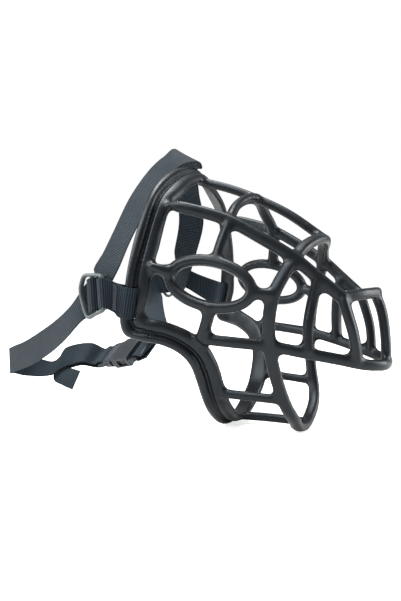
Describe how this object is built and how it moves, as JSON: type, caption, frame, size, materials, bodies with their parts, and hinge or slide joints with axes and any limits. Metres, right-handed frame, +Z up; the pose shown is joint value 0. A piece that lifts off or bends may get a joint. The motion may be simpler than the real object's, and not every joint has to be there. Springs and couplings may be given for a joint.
{
  "type": "basket muzzle",
  "caption": "Moulded open basket muzzle for a large dog, with a webbing neck strap, side straps on three-bar sliders and a side-release buckle.",
  "frame": {"origin": "on the surface that the muzzle stands on, under the middle of the chin hoop, on the basket's plane of symmetry", "axes": "+X towards the nose, from the neck strap to the front of the basket; +Z up; +Y is the dog's left side"},
  "size_m": [0.3099, 0.1653, 0.2021],
  "materials": {
    "basket_plastic": "satin",
    "webbing": "matte",
    "thread": "matte",
    "slider_plastic": "satin",
    "buckle_plastic": "satin"
  },
  "bodies": {
    "muzzle": {"basket": "basket_plastic", "neck_strap": "webbing", "side_strap_near": "webbing", "side_strap_far": "webbing", "bartack_near": "thread", "bartack_far": "thread", "bartack_socket": "thread", "slider_near": "slider_plastic", "slider_far": "slider_plastic", "buckle_socket": "buckle_plastic"},
    "plug": {"buckle_plug": "buckle_plastic", "neck_strap_end": "webbing"},
    "prong_upper": {"buckle_prong_upper": "buckle_plastic"},
    "prong_lower": {"buckle_prong_lower": "buckle_plastic"}
  },
  "joints": [
    {"name": "plug_slide", "type": "slide", "parent": "muzzle", "child": "plug", "axis": [-0.9422, 0.2751, -0.1911], "range_m": [0, 0.022]},
    {"name": "upper_prong_squeeze", "type": "hinge", "parent": "plug", "child": "prong_upper", "pos_m": [-0.16581, 0.03082, 0.04639], "axis": [0.3174, 0.5514, -0.7715], "range_deg": [0, 6], "stiffness_Nm_per_rad": 0.6},
    {"name": "lower_prong_squeeze", "type": "hinge", "parent": "plug", "child": "prong_lower", "pos_m": [-0.16756, 0.0179, 0.03644], "axis": [-0.3174, -0.5514, 0.7715], "range_deg": [0, 6], "stiffness_Nm_per_rad": 0.6}
  ]
}
